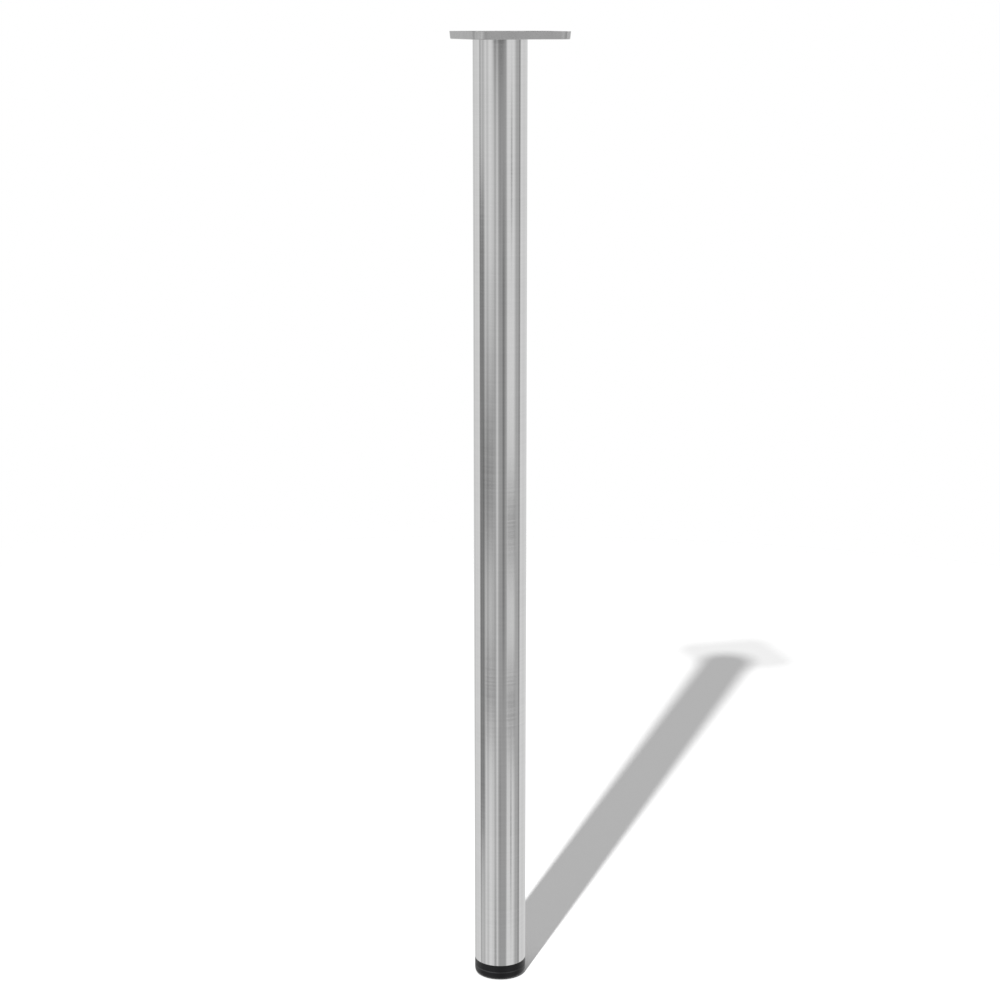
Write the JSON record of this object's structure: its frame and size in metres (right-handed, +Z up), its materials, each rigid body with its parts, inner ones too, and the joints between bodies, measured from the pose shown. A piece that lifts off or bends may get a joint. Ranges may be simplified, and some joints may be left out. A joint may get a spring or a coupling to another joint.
{
  "type": "height adjustable table leg",
  "caption": "Round brushed steel table leg with a square cast mounting plate at the top and a black screw foot that turns to set the height.",
  "frame": {"origin": "where the leg's axis meets the floor, with the foot screwed right in", "axes": "+Z up along the tube; +X and +Y along the mounting plate's sides, towards the far corner from the tube"},
  "size_m": [0.114, 0.114, 1.1],
  "materials": {
    "tube_steel": "nickel plated, brushed round the tube",
    "plate_casting": "satin nickel plated casting",
    "zinc_steel": "bright zinc plated",
    "black_steel": "black oxide",
    "insert_nylon": "black moulded nylon, satin",
    "foot_plastic": "black moulded plastic, satin",
    "glide_plastic": "dark grey soft plastic, matt"
  },
  "bodies": {
    "leg": {"mounting_plate": "plate_casting", "tube": "tube_steel", "grub_screw": "black_steel", "tube_end_insert": "insert_nylon", "insert_nut": "zinc_steel"},
    "glide": {"foot_glide": "glide_plastic"},
    "foot": {"foot": "foot_plastic", "spindle": "zinc_steel"}
  },
  "joints": [
    {"name": "foot_travel", "type": "slide", "parent": "leg", "child": "glide", "axis": [0, 0, -1], "range_m": [0, 0.02]},
    {"name": "foot_turn", "type": "hinge", "parent": "glide", "child": "foot", "pos_m": [0, 0, 0], "axis": [0, 0, -1], "range_deg": [0, 4800]}
  ],
  "couplings": [
    {"joint": "foot_travel", "follows": "foot_turn", "m_per_rad": 0.00023873}
  ]
}
